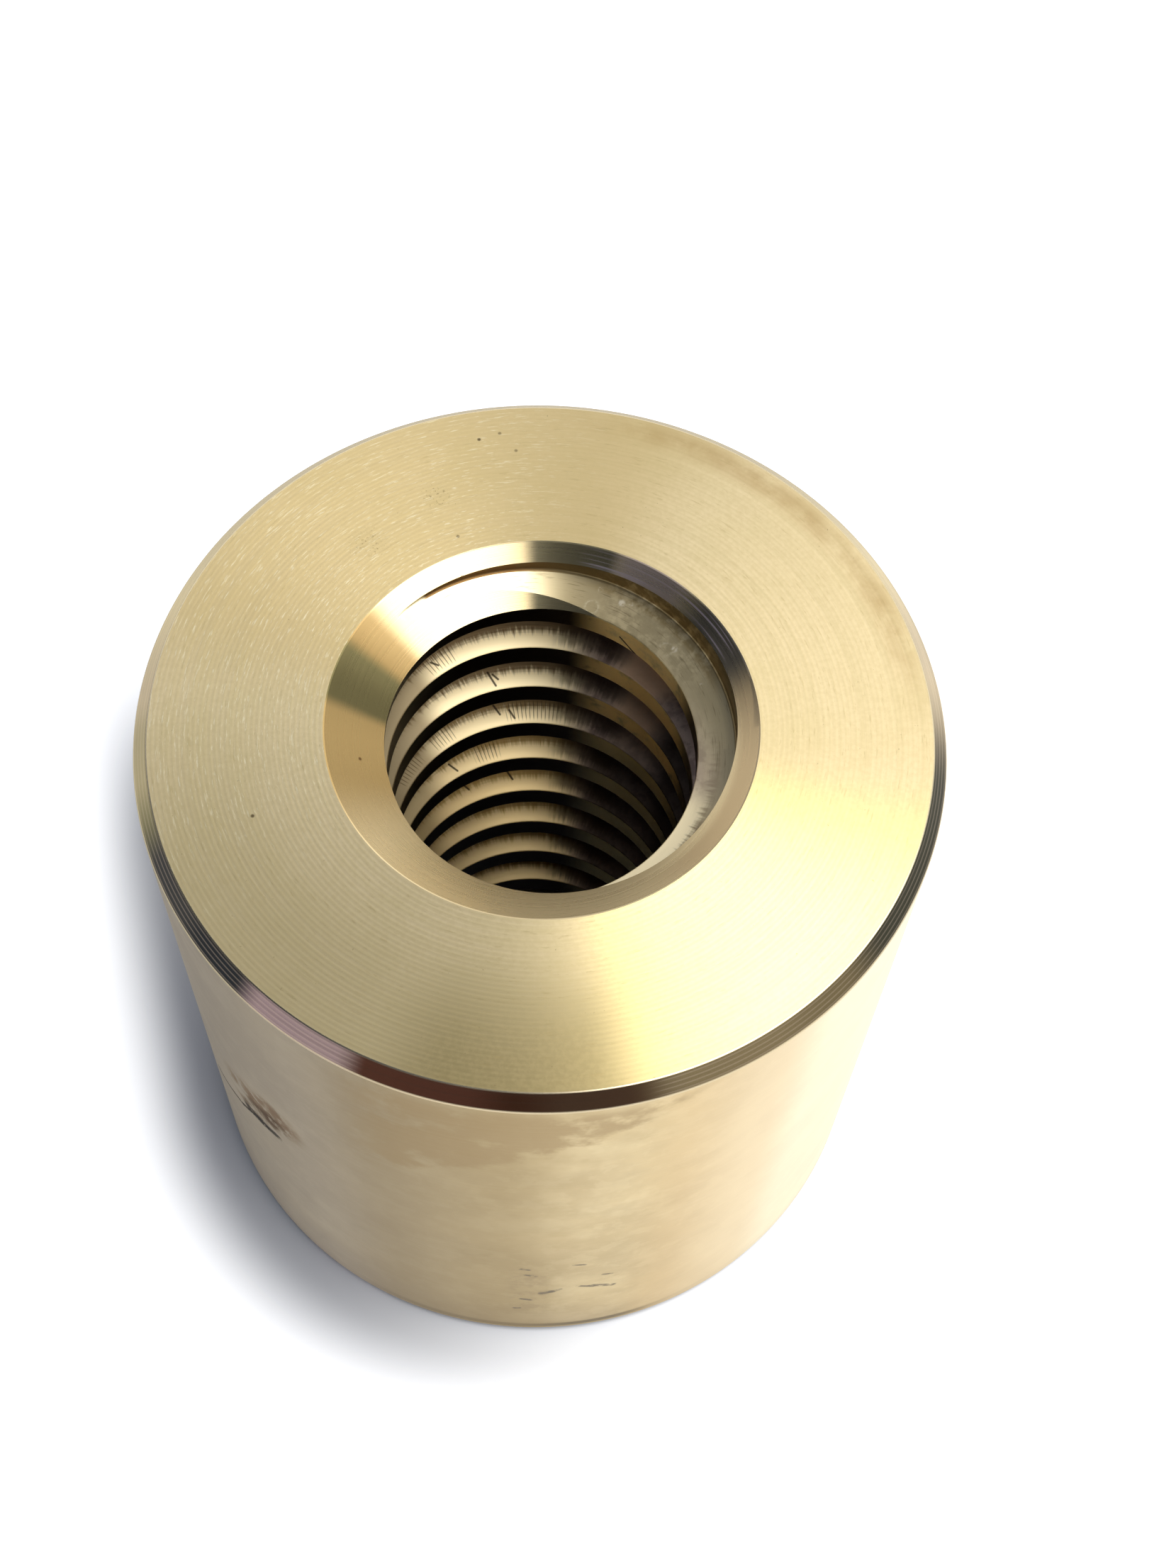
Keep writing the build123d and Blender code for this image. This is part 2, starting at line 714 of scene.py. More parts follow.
@dataclass(frozen=True)
class BronzeFinish:
    """Tin bronze as one tool left it.

    A turned metal scatters light across its fine ridges, so its highlight fans out along the
    radius; anisotropy with a tangent round the axis gives that.
    """

    nut: TurnedNut
    name: str
    metal: str
    roughness: float
    anisotropy: float

    def material(self) -> bpy.types.Material:
        """Make the finish.

        Returns:
            Its material.
        """
        material = bpy.data.materials.new(self.name)
        material.use_nodes = True
        tree = material.node_tree
        tree.nodes.clear()
        coat = Coat(LathePlace.of(tree), linear(self.metal), self.roughness)
        self.dress(coat)
        inputs = {
            "Base Color": coat.colour,
            "Metallic": coat.metallic,
            "Roughness": coat.roughness,
            "Anisotropic": self.anisotropy,
            "Anisotropic Rotation": 0.25,
            "Tangent": add_node(tree, "Tangent", direction_type="RADIAL", axis="Z"),
            "Normal": add_node(tree, "Bump", {"Height": coat.height, "Distance": MM}),
        }
        shader = add_node(tree, "BsdfPrincipled", inputs)
        add_node(tree, "OutputMaterial", {"Surface": shader})
        return material

    def dress(self, coat: Coat) -> None:
        """Add the finish's layers."""
        raise NotImplementedError


@dataclass(frozen=True)
class FacedBronze(BronzeFinish):
    """The end faces, cut by a facing tool that moved in from the rim.

    The eye sees even concentric rings, bright fans of light across them, a faint brown stain near
    the rim, and painted shade and a painted yellow highlight in sectors round the axis.
    """

    name: str = "tin_bronze_faced"
    metal: str = "#E6D1A2"
    roughness: float = 0.34
    anisotropy: float = 0.82
    # The tool moved about 0.2 mm a turn, too fine to show, so its rings are drawn 0.32 mm apart.
    feed: float = 0.32
    lean: float = 5.0
    # Painted light by azimuth: painted shade in the sectors at -112, -92 and 118 degrees, and a
    # painted yellow highlight in the bright fan at -45.
    sector_tints: tuple[SectorTint, ...] = (
        SectorTint(-112, 36, 40, "#C0AE7C", 0.45, radii=(14.0, 21.0)),
        SectorTint(-92, 10, 14, "#9C8A5A", 0.7, radii=(14.0, 24.0)),
        SectorTint(118, 38, 25, "#C8AE74", 0.55),
        SectorTint(-45, 24, 14, "#EBD592", 0.8),
    )
    smudges: tuple[tuple[float, float, float], ...] = ((17.2, 131.2, 1.7), (18.2, 113.3, 1.3))
    pores: tuple[tuple[float, float, float, str, float], ...] = (
        (18.5, -158.0, 0.17, "#4A3A26", 0.85),
        (21.8, 102.0, 0.17, "#4A3A26", 0.85),
        (22.1, 98.3, 0.16, "#5C4A30", 0.7),
        (20.6, 95.8, 0.16, "#5C4A30", 0.7),
        (14.7, 112.6, 0.16, "#5C4A30", 0.7),
    )

    def dress(self, coat: Coat) -> None:
        """Add rings, tarnish, pores, and painted shade and highlight in sectors.

        Args:
            coat: the layers so far.
        """
        place = coat.place
        # The ridges are sawteeth whose long side leans out, so most of the face leans with them.
        coat.raise_by(place.radius, -tan(radians(self.lean)))
        rings = place.ridges(place.radius, self.feed)
        coat.raise_by(rings, 0.0014)
        coat.tint(place.ramp(rings, -0.2, 1.0), "#D2BE8C", 0.20)
        fine = place.streaks(place.radius, 0.30, 40.0, 3.0)
        coat.raise_by(fine, 0.005)
        coat.roughen(fine, 0.08)
        coat.tint(place.ramp(fine, 0.42, 0.70), "#DAC794", 0.35)
        coat.tint(place.ramp(place.clouds(6.0, 4.0), 0.40, 0.75), "#D6C38E", 0.4)
        rim = place.both(place.sector(45, 26, 22), place.band(place.radius, 21.6, 24.6, 1.4))
        coat.tint(place.both(rim, place.ramp(place.clouds(2.2, 21.0), 0.2, 0.7)), "#AC8C58", 0.6)
        coat.tint_sector(*self.sector_tints)
        top = self.nut.length
        for radius, azimuth, size in self.smudges:
            smudge = place.dot(Spot(radius, azimuth, top), size)
            cloudy = place.ramp(place.clouds(1.1, 2.0), 0.30, 0.7)
            coat.tint(place.both(smudge, cloudy), "#B09E68", 0.15)
            specks = place.ramp(place.clouds(0.2, 12.0), 0.56, 0.66)
            coat.tint(place.both(smudge, specks), "#7E6A42", 0.6)
        for radius, azimuth, size, colour, amount in self.pores:
            coat.tint(place.dot(Spot(radius, azimuth, top), size), colour, amount)
        # The torn grain of the cut is a few hundredths of a millimetre, too fine to show, so it is
        # drawn 0.1 to 0.4 mm wide.
        grain = place.ramp(place.clouds(0.35, 9.0), 0.40, 0.62)
        coat.tint(grain, "#CDB784", 0.22)
        # Painted highlight: near-white streaks only in the bright fan at 150 degrees.
        bright = place.ramp(place.streaks(place.radius, 0.10, 0.8, 51.0), 0.56, 0.70)
        coat.tint(place.both(bright, place.sector(150, 40, 40)), "#FFF6D2", 0.4)
        dull = place.ramp(place.streaks(place.radius, 0.16, 1.2, 61.0), 0.60, 0.72)
        coat.tint(dull, "#B09A66", 0.3)
        pits = place.ramp(place.clouds(0.28, 31.0), 0.70, 0.76)
        coat.tint(pits, "#7B6644", 0.6)


@dataclass(frozen=True)
class ChamferBronze(BronzeFinish):
    """The outer chamfer, cut by a tool fed in a few steps, 0.2 mm apart.

    The eye sees a dark edge with a few bright turned lines round it.
    """

    name: str = "tin_bronze_chamfer"
    metal: str = "#C2AF8C"
    roughness: float = 0.27
    anisotropy: float = 0.5
    feed: float = 0.2
    # Painted reflections: dark brown, blue-grey and olive where the chamfer mirrors dark
    # surroundings, pale gold at 95 degrees where it mirrors the light.
    sector_tints: tuple[SectorTint, ...] = (
        SectorTint(-80, 75, 15, "#6A5E4A", 0.8),
        SectorTint(95, 62, 20, "#F2DCA4", 0.8),
        SectorTint(-103, 10, 8, "#4A261C", 0.92),
        SectorTint(-84, 8, 8, "#3A2418", 0.9),
        SectorTint(-144, 17, 9, "#2E3032", 0.92),
        SectorTint(-137, 5, 6, "#1E2226", 0.7),
        SectorTint(-124, 6, 5, "#A08886", 0.85),
        SectorTint(-27, 18, 12, "#34352B", 0.9),
        SectorTint(-56, 12, 10, "#7C6C4C", 0.8),
        SectorTint(-170, 6, 8, "#8E865C", 0.6),
    )

    def dress(self, coat: Coat) -> None:
        """Add the turned lines and painted reflections: brown, blue-grey, olive and pale sectors
        round the chamfer.

        Args:
            coat: the layers so far.
        """
        place = coat.place
        smooth_part = place.sector(-94, 14, 12)
        ringed_part = place.ramp(smooth_part, 1.0, 0.0)
        rings = place.both(place.ridges(place.radius, self.feed), ringed_part)
        coat.raise_by(rings, 0.0015)
        fine = place.streaks(place.radius, 0.2, 60.0, 13.0)
        coat.raise_by(fine, 0.002)
        coat.tint_sector(*self.sector_tints)
        coat.tint(place.ramp(rings, 0.3, 0.9), "#CDB9A2", 0.16)
        coat.tint(place.ramp(fine, 0.5, 0.7), "#3E3228", 0.25)
        wall = self.nut.outside_radius
        face_edge = wall - self.nut.edge_chamfer
        # Painted highlight: thin bright lines along the chamfer's inner and outer edges.
        edge_highlight = place.ramp(place.radius, face_edge + 0.06, face_edge - 0.02)
        coat.tint(edge_highlight, "#EADBB8", 0.8)
        coat.tint(place.ramp(place.radius, wall - 0.10, wall - 0.04), "#E4D2AC", 0.7)


@dataclass(frozen=True)
class SideBronze(BronzeFinish):
    """The outside, turned and then dulled by handling.

    The eye sees a satin wall with soft blotches of tan and pale bronze, one brown stain and a few
    short dark scuffs.
    """

    name: str = "tin_bronze_side"
    metal: str = "#CFBA8C"
    roughness: float = 0.40
    anisotropy: float = 0.35
    stain_slope: float = 0.302
    stain_level: float = 66.4
    # Painted reflections: grey at -150, where the wall mirrors the floor's shadow, and near white
    # at -22, where it mirrors the lit floor; then a darker tan at -103 and a paler tan at -61.
    sector_tints: tuple[SectorTint, ...] = (
        SectorTint(-150, 30, 30, "#A2988E", 0.5),
        SectorTint(-22, 30, 22, "#F4EACE", 0.6),
        SectorTint(-103, 8, 16, "#967F50", 0.55),
        SectorTint(-61, 6, 10, "#C8A870", 0.4),
    )
    stain_patches: tuple[tuple[Mark, str], ...] = (
        (Mark((-140.5, 24.4), (-133.0, 27.2), 6.5), "#8A6644"),
        (Mark((-140.0, 23.4), (-133.5, 25.4), 3.6), "#543A24"),
    )
    stain_line: tuple[Mark, ...] = (
        Mark((-153.7, 17.5), (-146.6, 19.6), 0.45),
        Mark((-146.6, 19.6), (-143.4, 20.4), 0.60),
        Mark((-143.4, 20.4), (-138.8, 22.3), 0.60),
        Mark((-141.0, 22.0), (-136.8, 22.6), 1.60),
        Mark((-137.6, 22.4), (-133.6, 23.0), 1.20),
    )
    scuff_marks: tuple[Mark, ...] = (
        Mark((-90.8, 14.8), (-89.4, 14.5), 0.55),
        Mark((-91.6, 16.2), (-90.4, 16.0), 0.45),
        Mark((-83.2, 16.8), (-81.6, 16.6), 0.45),
        Mark((-82.4, 11.5), (-79.8, 10.9), 0.50),
        Mark((-80.2, 11.2), (-76.6, 10.4), 0.75),
        Mark((-78.4, 13.5), (-77.0, 13.3), 0.40),
        Mark((-88.2, 10.2), (-86.7, 10.6), 0.85),
        Mark((-86.9, 10.5), (-85.3, 11.1), 0.55),
        Mark((-91.4, 8.7), (-90.2, 8.5), 0.60),
        Mark((-92.6, 6.2), (-91.2, 6.3), 0.50),
    )

    def dress(self, coat: Coat) -> None:
        """Add fine turning, blotches, stains and scuffs, painted reflections in sectors round the
        wall and painted shade low down.

        Args:
            coat: the layers so far.
        """
        place = coat.place
        # The finishing cut is well under 0.1 mm a turn, too fine to show: it is drawn 0.24 mm wide.
        fine = place.streaks(place.height, 0.24, 18.0, 5.0)
        coat.raise_by(fine, 0.003)
        coat.roughen(fine, 0.10)
        for size, seed, start, full, colour, amount in (
            (9.0, 29.0, 0.34, 0.66, "#A4906A", 0.34),
            (4.0, 6.0, 0.36, 0.66, "#B09A6C", 0.30),
            (5.5, 17.0, 0.46, 0.66, "#E2D0A4", 0.34),
            (1.6, 40.0, 0.50, 0.62, "#E0CFA4", 0.20),
        ):
            coat.tint(place.ramp(place.clouds(size, seed), start, full), colour, amount)
        # Painted shade: darker low on the left, towards the floor's shadow.
        low_left_shade = place.both(place.ramp(place.height, 9.0, 0.0), place.sector(-140, 45, 40))
        coat.tint(low_left_shade, "#A08A6C", 0.45)
        # Painted shade: a darker band just above the lower chamfer all round, darkest at the front,
        # for the dark line where the nut stands on the floor.
        coat.tint(place.band(place.height, 0.9, 2.3, 0.3), "#A08A60", 0.4)
        foot_shade = place.both(place.sector(-92, 18, 12), place.band(place.height, 1.1, 2.1, 0.3))
        coat.tint(foot_shade, "#5E5030", 0.75)
        coat.tint_sector(*self.sector_tints)
        self.stain(coat)
        self.scuffs(coat)

    def stain(self, coat: Coat) -> None:
        """Add the tarnish under the chamfer and the brown stain with its trailing line.

        Args:
            coat: the layers so far.
        """
        place = coat.place
        tree = place.tree
        slant = {0: place.azimuth, 1: self.stain_slope, 2: self.stain_level}
        edge = add_node(tree, "Math", slant, operation="MULTIPLY_ADD")
        above = add_node(tree, "Math", {0: place.height, 1: edge}, operation="SUBTRACT")
        frayed = {0: place.clouds(1.8, 33.0), 1: 5.0, 2: above}
        rise = add_node(tree, "Math", frayed, operation="MULTIPLY_ADD")
        top = place.ramp(place.height, 47.6, 45.6)
        under = place.both(place.sector(-91, 18, 12), place.ramp(rise, 2.0, 3.6), top)
        blotched = place.ramp(place.clouds(3.2, 31.0), 0.32, 0.52)
        coat.tint(place.both(under, blotched), "#A0875A", 0.75)
        frayed_line = place.ramp(place.clouds(0.7, 33.0), 0.30, 0.52)
        fuzzy = place.both(
            place.ramp(place.clouds(0.9, 13.0), 0.30, 0.54),
            place.ramp(place.clouds(3.0, 14.0), 0.34, 0.60),
        )
        for mark, colour in self.stain_patches:
            coat.soil(place.both(self.along(place, mark), fuzzy), colour, 0.7)
        for mark in self.stain_line:
            coat.soil(place.both(self.along(place, mark), frayed_line), "#2A2018", 0.9)

    def scuffs(self, coat: Coat) -> None:
        """Add short dark scuffs low on the front.

        Args:
            coat: the layers so far.
        """
        place = coat.place
        broken = place.ramp(place.clouds(0.6, 50.0), 0.32, 0.52)
        low = place.band(place.height, 3.0, 18.0, 4.0)
        cloudy = place.ramp(place.clouds(1.2, 52.0), 0.40, 0.60)
        coat.tint(place.both(place.sector(-90.5, 1.5, 3.0), low, cloudy), "#A08A62", 0.6)
        for mark in self.scuff_marks:
            coat.tint(place.both(self.along(place, mark), broken), "#6E6148", 0.85)

    def along(self, place: LathePlace, mark: Mark) -> Socket:
        """A mask along a mark on the wall."""
        wall = self.nut.outside_radius
        return place.line(Spot(wall, *mark.start), Spot(wall, *mark.end), mark.width)


@dataclass(frozen=True)
class CountersinkBronze(BronzeFinish):
    """The countersinks, bored smooth.

    The eye sees a near mirror with fine turned lines, bright on one side, blue-black on the other.
    """

    name: str = "tin_bronze_countersink"
    metal: str = "#DCC698"
    roughness: float = 0.24
    anisotropy: float = 0.5
    # Painted reflections round the near mirror: blue-grey, olive and brown where it mirrors dark
    # things, pink and tan where it mirrors light.
    sector_tints: tuple[SectorTint, ...] = (
        SectorTint(-15, 25, 25, "#B89C74", 0.6, radii=(11.8, 12.5)),
        SectorTint(-178, 14, 30, "#A48650", 0.85),
        SectorTint(30, 7, 14, "#4C4E50", 0.8),
        SectorTint(82, 10, 5, "#5E5C48", 0.8),
        SectorTint(58, 6, 8, "#D8BFBE", 0.5),
        SectorTint(151, 4, 8, "#8A7044", 0.85),
        SectorTint(165, 7, 5, "#645F40", 0.9),
    )
    pores: tuple[tuple[Spot, float], ...] = (
        (Spot(11.31, -169.3, 46.57), 0.16),
        (Spot(12.22, 115.8, 47.21), 0.12),
    )

    def dress(self, coat: Coat) -> None:
        """Add fine lines, painted reflections in sectors round the axis and a painted pink
        highlight along the lines.

        Args:
            coat: the layers so far.
        """
        place = coat.place
        fine = place.streaks(place.radius, 0.12, 20.0, 7.0)
        coat.raise_by(fine, 0.004)
        coat.roughen(fine, 0.08)
        coat.tint_sector(*self.sector_tints)
        shine = place.both(place.sector(52, 20, 10), place.ramp(fine, 0.54, 0.66))
        coat.tint(shine, "#F0DCE4", 0.6)
        for spot, size in self.pores:
            coat.tint(place.dot(spot, size), "#5A3A1E", 0.85)


@dataclass(frozen=True)
class ThreadBronze(BronzeFinish):
    """The thread's flanks and root, cut with a single point.

    The eye sees bright flanks near the crest, scratched towards the root and darkened brown
    there by painted shade, and fine combs of chatter across them.
    """

    name: str = "tin_bronze_thread"
    metal: str = "#EFDDB2"
    roughness: float = 0.27
    anisotropy: float = 0.7
    first_turn: tuple[float, float] = (44.2, 45.2)
    right_shade: SectorTint = SectorTint(20, 12, 14, "#241C14", 0.85, (40.0, 36.0))
    # Painted light on the turns: shade on the left at 168 and on the right at 42 degrees lower
    # down, and a painted highlight at the upper run-out at 138.
    sector_tints: tuple[SectorTint, ...] = (
        SectorTint(168, 24, 14, "#4A3A26", 0.5, (30.0, 27.0)),
        SectorTint(42, 24, 12, "#241C14", 0.7, (31.0, 26.0)),
        SectorTint(138, 7, 3, "#F6E6BC", 0.9, (46.2, 46.8)),
    )
    # Places on the flanks: the turn counted from the top, then azimuths, radii and sizes.
    specks: tuple[tuple[float, float, float], ...] = (
        (72.0, 11.6, 0.22),
        (64.0, 11.3, 0.30),
        (61.0, 11.5, 0.20),
        (40.0, 10.9, 0.28),
        (24.0, 11.0, 0.22),
    )
    rings: tuple[tuple[float, float], ...] = ((73.0, 10.35), (42.0, 10.5))
    combs: tuple[tuple[int, float, float], ...] = (
        (1, 130.0, 5.0),
        (3, 94.0, 9.0),
        (3, 131.0, 4.0),
        (3, 150.0, 6.0),
        (4, 112.0, 4.0),
    )
    ticks: tuple[tuple[int, float, float, float], ...] = (
        (2, 108.5, 10.1, 11.1),
        (2, 107.0, 10.5, 10.9),
        (3, 106.3, 10.6, 11.3),
        (3, 101.0, 10.2, 10.8),
        (5, 101.4, 10.7, 11.3),
        (5, 119.5, 10.8, 11.5),
        (1, 131.4, 10.4, 10.8),
        (4, 126.0, 10.2, 10.9),
    )

    def dress(self, coat: Coat) -> None:
        """Add scratches, painted shade towards the root and on the deeper turns, and painted light
        in patches.

        Args:
            coat: the layers so far.
        """
        place = coat.place
        fine = place.streaks(place.radius, 0.14, 8.0, 11.0)
        coat.raise_by(fine, 0.005)
        coat.roughen(fine, 0.10)
        inner_turns = place.ramp(place.height, *reversed(self.first_turn))
        coat.roughen(inner_turns, 0.12)
        tree = place.tree
        ragged = {0: place.cross_lines(1.1, 2.6, 5.0), 1: 1.3, 2: place.radius}
        ragged_radius = add_node(tree, "Math", ragged, operation="MULTIPLY_ADD")
        # Painted shade: the flank turns dark brown towards the root, where the ridge above hides
        # the light.
        root_shade = place.both(inner_turns, place.ramp(ragged_radius, 11.25, 11.85))
        coat.tint(root_shade, "#5E4628", 0.88)
        scratched = place.both(inner_turns, place.ramp(place.radius, 10.5, 11.2))
        coat.tint(place.both(scratched, place.ramp(fine, 0.46, 0.66)), "#5A4630", 0.6)
        # Painted light: a golden cast on the lower turns, for the gold highlights deep in the bore.
        coat.tint(place.ramp(place.height, 36.0, 20.0), "#DDB668", 0.5)
        patchy = place.ramp(place.clouds(0.9, 8.0), 0.40, 0.60)
        # Painted shade: darker and purple-grey on the right of the inner turns, patchy.
        right_side_shade = place.both(inner_turns, place.sector(30, 38, 16))
        coat.tint(right_side_shade, "#8E7670", 0.8)
        coat.tint(place.both(right_side_shade, patchy), "#5A4644", 0.5)
        upper_turns = place.ramp(place.height, 28.0, 34.0)
        # Painted light: a lighter, rougher patch at 50 degrees on the upper turns, where the flank
        # would catch more light.
        lit_patch = place.both(inner_turns, place.sector(50, 6, 10), upper_turns)
        coat.roughen(lit_patch, 0.25)
        coat.tint(lit_patch, "#EBCBA8", 0.8)
        coat.tint_sector(self.right_shade)
        # A golden tint near the root at 48 degrees, on the upper turns.
        golden_root_band = place.both(place.sector(48, 20, 12), place.band(place.radius, 11.3, 12.4, 0.4))
        coat.tint(place.both(golden_root_band, place.ramp(place.height, 30.0, 34.0)), "#B08C4A", 0.8)
        # Painted shade: darker on the left of the middle turns.
        middle_turns = place.band(place.height, 28.5, 45.0, 3.0)
        coat.tint(place.both(place.sector(168, 24, 14), middle_turns), "#5A4830", 0.75)
        coat.tint_sector(*self.sector_tints)
        # Painted shade: the flank darkens at 72 degrees, where its highlight ends.
        turning = place.both(place.sector(72, 8, 9), place.ramp(ragged_radius, 10.5, 11.2))
        coat.tint(place.both(inner_turns, turning), "#3E3020", 0.65)
        self.top_flank(coat)
        self.chatter(coat)

    def top_flank(self, coat: Coat) -> None:
        """Dull the open flank of the first turn and add its pale and dark marks.

        Args:
            coat: the layers so far.
        """
        place = coat.place
        top = place.ramp(place.height, *self.first_turn)
        coat.tint(place.both(top, place.sector(14, 66, 22)), "#857654", 0.8)
        cloudy = place.ramp(place.clouds(0.8, 61.0), 0.42, 0.64)
        coat.tint(place.both(top, place.sector(48, 14, 15), cloudy), "#C6B48C", 0.6)
        scratches = place.ramp(place.streaks(place.radius, 0.10, 3.0, 71.0), 0.58, 0.68)
        coat.tint(place.both(top, scratches), "#6A5E44", 0.5)
        worn = place.ramp(place.clouds(0.30, 77.0), 0.40, 0.58)
        for azimuth, radius, size in self.specks:
            speck = place.dot(self.nut.flank_spot(0, azimuth, radius), size)
            coat.tint(place.both(speck, worn), "#F0E4C8", 0.6)
        for azimuth, radius in self.rings:
            spot = self.nut.flank_spot(0, azimuth, radius)
            ring = place.both(place.dot(spot, 0.62), place.outside(spot, 0.42), worn)
            coat.tint(ring, "#E6DABC", 0.5)

    def chatter(self, coat: Coat) -> None:
        """Add combs of fine cross lines and single dark ticks.

        Args:
            coat: the layers so far.
        """
        place = coat.place
        # Real chatter is closer still; 1.5 degrees, 0.27 mm on the flank, is as fine as shows.
        lines = place.ramp(place.ridges(place.azimuth, 1.5), 0.55, 0.95)
        for turn, centre, half in self.combs:
            middle = self.nut.flank_spot(turn, centre, 10.7)
            level = place.band(place.height, middle.height - 1.6, middle.height + 1.6, 0.3)
            patch = place.both(lines, level, place.sector(centre, half, 2.0))
            coat.tint(place.both(patch, place.band(place.radius, 9.9, 11.5, 0.4)), "#4A3C2C", 0.75)
        for turn, azimuth, inner, outer in self.ticks:
            start = self.nut.flank_spot(turn, azimuth, inner)
            end = self.nut.flank_spot(turn, azimuth + 1.5, outer)
            coat.tint(place.line(start, end, 0.22), "#2C2218", 0.9)


@dataclass(frozen=True)
class CrestBronze(BronzeFinish):
    """The bore wall between the grooves, set near black as painted shade, since it faces into the
    dark bore.

    The eye sees a near black band, golden brown on one side where painted light lifts it.
    """

    name: str = "tin_bronze_bore"
    # Painted shade: the crest's bronze is set near black.
    metal: str = "#241B12"
    roughness: float = 0.28
    anisotropy: float = 0.4
    crack: tuple[tuple[float, float], ...] = (
        (60.0, 44.4),
        (55.0, 43.7),
        (50.0, 43.2),
        (47.0, 42.3),
    )

    def dress(self, coat: Coat) -> None:
        """Add fine scratches and the painted light on one side.

        Args:
            coat: the layers so far.
        """
        place = coat.place
        fine = place.streaks(place.height, 0.08, 10.0, 19.0)
        coat.raise_by(fine, 0.004)
        coat.roughen(fine, 0.10)
        # Painted light: paler at 47 degrees, brightest in cloudy patches on the upper turns.
        lit = place.sector(47, 12, 22)
        coat.roughen(lit, 0.22)
        coat.tint(lit, "#D8CC9C", 0.9)
        lit_upper_turns = place.both(lit, place.ramp(place.height, 28.0, 36.0))
        cloudy = place.ramp(place.clouds(1.2, 44.0), 0.25, 0.5)
        coat.tint(place.both(lit_upper_turns, cloudy), "#FFE4A4", 0.95)
        bore = self.nut.thread.bore_radius
        for start, end in zip(self.crack, self.crack[1:]):
            hairline = place.line(Spot(bore, *start), Spot(bore, *end), 0.2)
            coat.tint(hairline, "#140E0A", 0.95)


def finishes(nut: TurnedNut) -> dict[Surface, BronzeFinish]:
    """Choose the finish of each surface of the nut."""
    return {
        Surface.FACE: FacedBronze(nut),
        Surface.CHAMFER: ChamferBronze(nut),
        Surface.SIDE: SideBronze(nut),
        Surface.COUNTERSINK: CountersinkBronze(nut),
        Surface.CREST: CrestBronze(nut),
        Surface.BREAK: ThreadBronze(nut, "tin_bronze_crest_break", "#E0CC9C"),
        Surface.FLANK: ThreadBronze(nut),
        # Painted shade: the overhang, which faces down, gets a darker copy of the thread's bronze.
        Surface.OVERHANG: ThreadBronze(nut, "tin_bronze_overhang_shade", "#B89A66"),
        Surface.ROOT: ThreadBronze(nut, "tin_bronze_root", "#6A5030"),
    }


@dataclass(frozen=True)
class SkyPatch:
    """A soft-edged part of the room that the metal sees brighter or darker than the rest."""

    direction: tuple[float, float, float]
    inner: float
    outer: float
    gain: float


